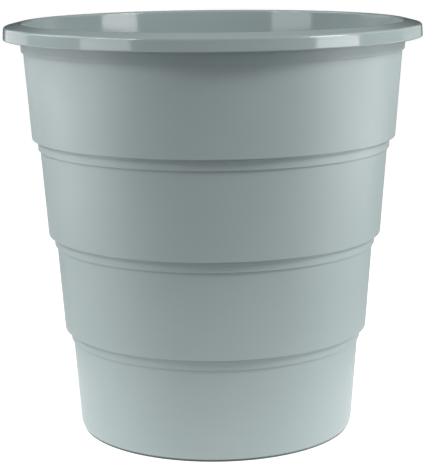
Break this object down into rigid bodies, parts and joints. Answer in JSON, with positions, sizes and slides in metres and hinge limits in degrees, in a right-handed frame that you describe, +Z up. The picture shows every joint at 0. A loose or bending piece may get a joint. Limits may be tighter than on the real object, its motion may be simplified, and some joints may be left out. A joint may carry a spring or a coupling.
{
  "type": "wastebasket",
  "caption": "Round open wastebasket in stepped tapering tiers with a turned-down rim and a raised floor panel, for use beside a desk.",
  "frame": {"origin": "centre of the foot ring, on the floor that the bin stands on", "axes": "+Z up along the axis of the bin; the bin is round, and -Y is taken as its front"},
  "size_m": [0.3208, 0.3208, 0.319],
  "materials": {
    "satin_polypropylene": "cool grey polypropylene, fine satin mould texture outside, smoother inside",
    "polished_polypropylene": "the same cool grey polypropylene, from a polished stretch of the mould"
  },
  "bodies": {
    "root": {"rim_flange": "polished_polypropylene", "rim_skirt_1": "polished_polypropylene", "rim_skirt_2": "polished_polypropylene", "rim_skirt_3": "polished_polypropylene", "rim_skirt_4": "polished_polypropylene", "collar_band": "satin_polypropylene", "tier_1_wall": "satin_polypropylene", "tier_2_wall": "satin_polypropylene", "tier_3_wall": "satin_polypropylene", "tier_4_wall": "satin_polypropylene", "step_1": "satin_polypropylene", "step_2": "satin_polypropylene", "step_3": "satin_polypropylene", "base_heel": "satin_polypropylene", "base_floor": "satin_polypropylene", "foot_ring": "satin_polypropylene"}
  },
  "joints": []
}
